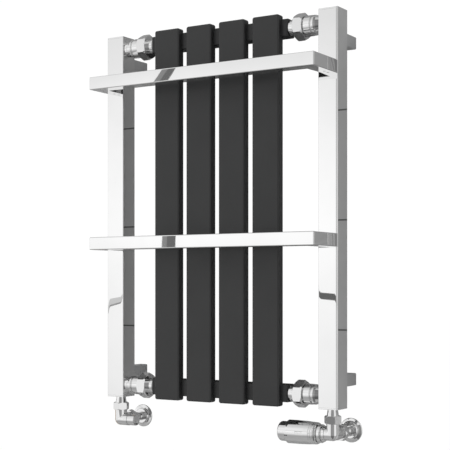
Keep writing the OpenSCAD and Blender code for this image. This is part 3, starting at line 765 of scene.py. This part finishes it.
vent_low, vent_high = box_mm("air_vent")
vent_m = Matrix.Translation((-col_x, col_high.y, (vent_low.z + vent_high.z) / 2)) @ ALONG_Y
bleed_r, key_half = 2, 1.9
vent = combine(hexagon(14, 0, 5, 0.8, True), rod(VENT_HOLE_R - GAP, -4.5, 1, 48), "UNION")
obj = new_object("vent_body", place(cut(vent, rod(bleed_r + GAP, -6, 8, 48)), vent_m))
bevel(obj, 0.2, 2, 30)
finish_piece(obj, ["air_vent"])
square = [(-key_half, -key_half), (key_half, -key_half), (key_half, key_half), (-key_half, key_half)]
key = combine(rod(bleed_r, -3, 5.3, 48), prism(square, 5.1, 9.1), "UNION")
obj = new_object("vent_key", place(key, vent_m))
bevel(obj, 0.2, 2, 30)
finish_piece(obj, ["bleed_screw"])


# ---------------------------------------------------------------- camera

# level, at the photo's angle to the front; the shift holds the object in the frame
CAMERA_PLACE = (1.1516, -1.9162, -0.1367)
CAMERA_YAW = math.radians(31.82)
cam_data = bpy.data.cameras.new("camera")
cam_data.sensor_width = 36.0
cam_data.lens = 93.6
cam_data.shift_y = 0.138
cam = bpy.data.objects.new("camera", cam_data)
bpy.context.scene.collection.objects.link(cam)
cam.location = CAMERA_PLACE
cam.rotation_euler = (math.radians(90), 0, CAMERA_YAW)
bpy.context.scene.camera = cam


# ---------------------------------------------------------------- light and surroundings

scene = bpy.context.scene
scene.view_settings.view_transform = "Standard"
world = bpy.data.worlds.new("world")
scene.world = world
world.use_nodes = True
background = world.node_tree.nodes["Background"]
background.inputs["Color"].default_value = (1, 1, 1, 1)
background.inputs["Strength"].default_value = 1.02


def direction(azimuth, height):
    """Azimuth in degrees from straight ahead of the front, positive toward +X; height above the horizon."""
    a, h = math.radians(azimuth), math.radians(height)
    return Vector((math.sin(a) * math.cos(h), -math.cos(a) * math.cos(h), math.sin(h)))


def emission(name, level=None):
    """Glow of one level, or without a level that of the mesh's own glow colours."""
    mat = bpy.data.materials.new(name)
    mat.use_nodes = True
    tree = mat.node_tree
    tree.nodes.remove(tree.nodes["Principled BSDF"])
    glow = tree.nodes.new("ShaderNodeEmission")
    if level is None:
        colour = tree.nodes.new("ShaderNodeAttribute")
        colour.attribute_name = "glow"
        tree.links.new(colour.outputs["Color"], glow.inputs["Color"])
    else:
        glow.inputs["Color"].default_value = (level, level, level, 1)
    tree.links.new(glow.outputs["Emission"], tree.nodes["Material Output"].inputs["Surface"])
    return mat


def stage_piece(name, bm, mat, camera=False, diffuse=False, glossy=True):
    """Part of the surroundings, seen only by mirrors unless it says otherwise."""
    mesh = bpy.data.meshes.new(name)
    bm.to_mesh(mesh)
    bm.free()
    mesh.materials.append(mat)
    obj = bpy.data.objects.new(name, mesh)
    scene.collection.objects.link(obj)
    obj.visible_camera = camera
    obj.visible_diffuse = diffuse
    obj.visible_glossy = glossy
    obj.visible_shadow = False
    obj.visible_transmission = False


# Brightness of the studio as the chrome sees it, by height above the horizon and by azimuth: bright on the
# left and far to the right, grey from -8 to 44 degrees, with fine stripes near 26.5 degrees.
BY_HEIGHT = [
    (-90, 0.42), (-50, 0.42), (-30, 0.36), (-20, 0.6), (-14, 0.8), (-9, 0.84), (-5.2, 0.876), (-1.1, 0.945),
    (0, 0.965), (3, 1.01), (5.5, 0.98), (7.5, 0.937), (9.5, 0.885), (11, 0.826), (13.3, 0.77), (16, 0.86),
    (25, 0.9), (35, 0.84), (50, 0.7), (70, 0.6), (90, 0.5)]
BY_AZIMUTH = [
    (-180, 0.7), (-110, 0.8), (-90, 1.0), (-42, 0.95), (-38, 0.98), (-35.5, 1.02), (-33, 1.02), (-30, 1.0),
    (-27.3, 1.02), (-24, 0.98), (-14, 0.96), (-10, 0.9), (-8, 0.27), (-1, 0.24), (5, 0.36), (25, 0.36),
    (25.5, 0.22), (26.45, 0.22), (26.46, 0.33), (26.5, 0.33), (26.51, 0.39), (26.55, 0.39), (26.56, 0.245),
    (26.64, 0.245), (26.65, 0.38), (26.69, 0.38), (26.7, 0.31), (26.8, 0.31), (27, 0.34), (44, 0.34),
    (52, 0.9), (55, 1.0), (86, 1.0), (90, 0.5), (180, 0.4)]
FAR = 250.0


def studio_grid(values, fine):
    """The listed angles, with even steps of about the fine angle between them."""
    out = []
    for (x0, _), (x1, _) in zip(values, values[1:]):
        n = max(1, int(round((x1 - x0) / fine)))
        out += [x0 + (x1 - x0) * i / n for i in range(n)]
    return out + [values[-1][0]]


azimuths, heights = studio_grid(BY_AZIMUTH, 6), studio_grid(BY_HEIGHT, 5)
bm = bmesh.new()
tone = bm.loops.layers.float_color.new("glow")
grid = [[bm.verts.new(direction(a, h) * FAR) for h in heights] for a in azimuths]
for i in range(len(azimuths) - 1):
    for j in range(len(heights) - 1):
        face = bm.faces.new((grid[i][j], grid[i + 1][j], grid[i + 1][j + 1], grid[i][j + 1]))
        corners = ((i, j), (i + 1, j), (i + 1, j + 1), (i, j + 1))
        for loop, (m, n) in zip(face.loops, corners):
            level = between(BY_AZIMUTH, azimuths[m]) * between(BY_HEIGHT, heights[n])
            loop[tone] = (level, level, level, 1)
stage_piece("studio", bm, emission("studio"))


def band(name, points, level):
    """Dark shape in the distance, its corners given as (azimuth, height)."""
    bm = bmesh.new()
    bm.faces.new([bm.verts.new(direction(a, h) * FAR * 0.8) for a, h in points])
    stage_piece(name, bm, emission(name, level))


# grey shapes that are mirrored in the fronts of the rails, then of the columns, and in the right valve
BLACK, DARK, SOFT = 0.148, 0.25, 0.594
band("corner_low", [(-34.66, 1.0), (-34.23, 1.0), (-34.23, 4.5), (-34.66, 4.5)], BLACK)
band("corner_low_side", [(-34.9, 1.0), (-34.66, 1.0), (-34.66, 4.5), (-34.9, 4.5)], DARK)
band("corner_high", [
    (-35.1, 8.9), (-34.7, 8.9), (-34.43, 10.2), (-34.15, 11.8), (-34.5, 11.8), (-34.84, 10.2)], BLACK)
band("corner_high_side", [
    (-35.4, 8.9), (-35.1, 8.9), (-34.84, 10.2), (-34.5, 11.8), (-34.8, 11.8), (-35.12, 10.2)], DARK)
band("edge_right", [
    (-31.0, -0.2), (-27.37, -0.6), (-26.38, -0.7), (-25.8, -0.86), (-24.0, -1.3), (-24.0, -1.0),
    (-25.8, -0.53), (-26.38, -0.37), (-27.37, -0.28), (-31.0, 0.1)], 0.125)
band("edge_left", [
    (-36.0, -0.35), (-37.0, -0.53), (-37.4, -0.6), (-41, -1.9), (-41, -2.2), (-37.4, -0.9), (-37.1, -0.82),
    (-36.0, -0.5)], SOFT)
band("edge_left_line", [
    (-36.0, -0.5), (-37.1, -0.82), (-37.4, -0.9), (-41, -2.2), (-41, -2.3), (-37.4, -0.98), (-37.1, -0.89),
    (-36.0, -0.56)], DARK)
band("side_line", [(-25.93, -6.3), (-25.4, -6.3), (-25.4, 14.5), (-25.93, 14.5)], 0.46)


def plain_surface(name, tone):
    """Matt surface of a grey level or of a colour."""
    mat = bpy.data.materials.new(name)
    mat.use_nodes = True
    shader = mat.node_tree.nodes["Principled BSDF"]
    colour = tone if isinstance(tone, tuple) else (tone, tone, tone)
    shader.inputs["Base Color"].default_value = (*colour, 1)
    shader.inputs["Roughness"].default_value = 1.0
    shader.inputs["Specular IOR Level"].default_value = 0.0
    return mat


def sheet(x0, x1, z0, z1, y):
    """Upright rectangle that faces the front."""
    bm = bmesh.new()
    bm.faces.new([bm.verts.new(v) for v in ((x0, y, z0), (x1, y, z0), (x1, y, z1), (x0, y, z1))])
    return bm


# A tiled wall behind the radiator with a few dark patches in front of the tiles, which are painted shade
# where the radiator shadows the wall and which only the chrome sees, and a pale floor, which the chrome
# doesn't see. All in metres.
stage_piece("wall", sheet(-4, 4, -3, 3, 0.002), plain_surface("wall", 0.335))
# painted shade: near-black sheets on the wall behind the rails and panels, standing in for the radiator's
# shadow
shade = joined(sheet(-0.13, 0.15, 0.24, 0.36, 0.0018), sheet(-0.1, 0.122, -0.372, -0.25, 0.0018))
stage_piece("wall_shade", shade, plain_surface("wall_shade", 0.03))
TILE_H = 0.2
JOINT_HALF = 0.0014
JOINT_Z = -0.0146
rows = [JOINT_Z + TILE_H * n for n in range(-8, 9)]
joints = [sheet(-4, 4, z - JOINT_HALF, z + JOINT_HALF, 0.0015) for z in rows]
stage_piece("wall_joints", joined(*joints), plain_surface("wall_joints", 0.09))
stage_piece("wall_low", sheet(0.28, 0.7, -0.7, -0.36, 0.0016), plain_surface("wall_low", 0.48))
stage_piece("wood", sheet(-0.75, -0.32, -0.52, -0.37, 0.0016), plain_surface("wood", (0.42, 0.3, 0.18)))
FLOOR_Z = -1.1
FLOOR_HALF = 40
bm = bmesh.new()
corners = [(FLOOR_HALF * x, FLOOR_HALF * y, FLOOR_Z) for x, y in ((-1, -1), (1, -1), (1, 1), (-1, 1))]
bm.faces.new([bm.verts.new(v) for v in corners])
stage_piece("floor", bm, plain_surface("floor", 0.99), camera=True, diffuse=True, glossy=False)
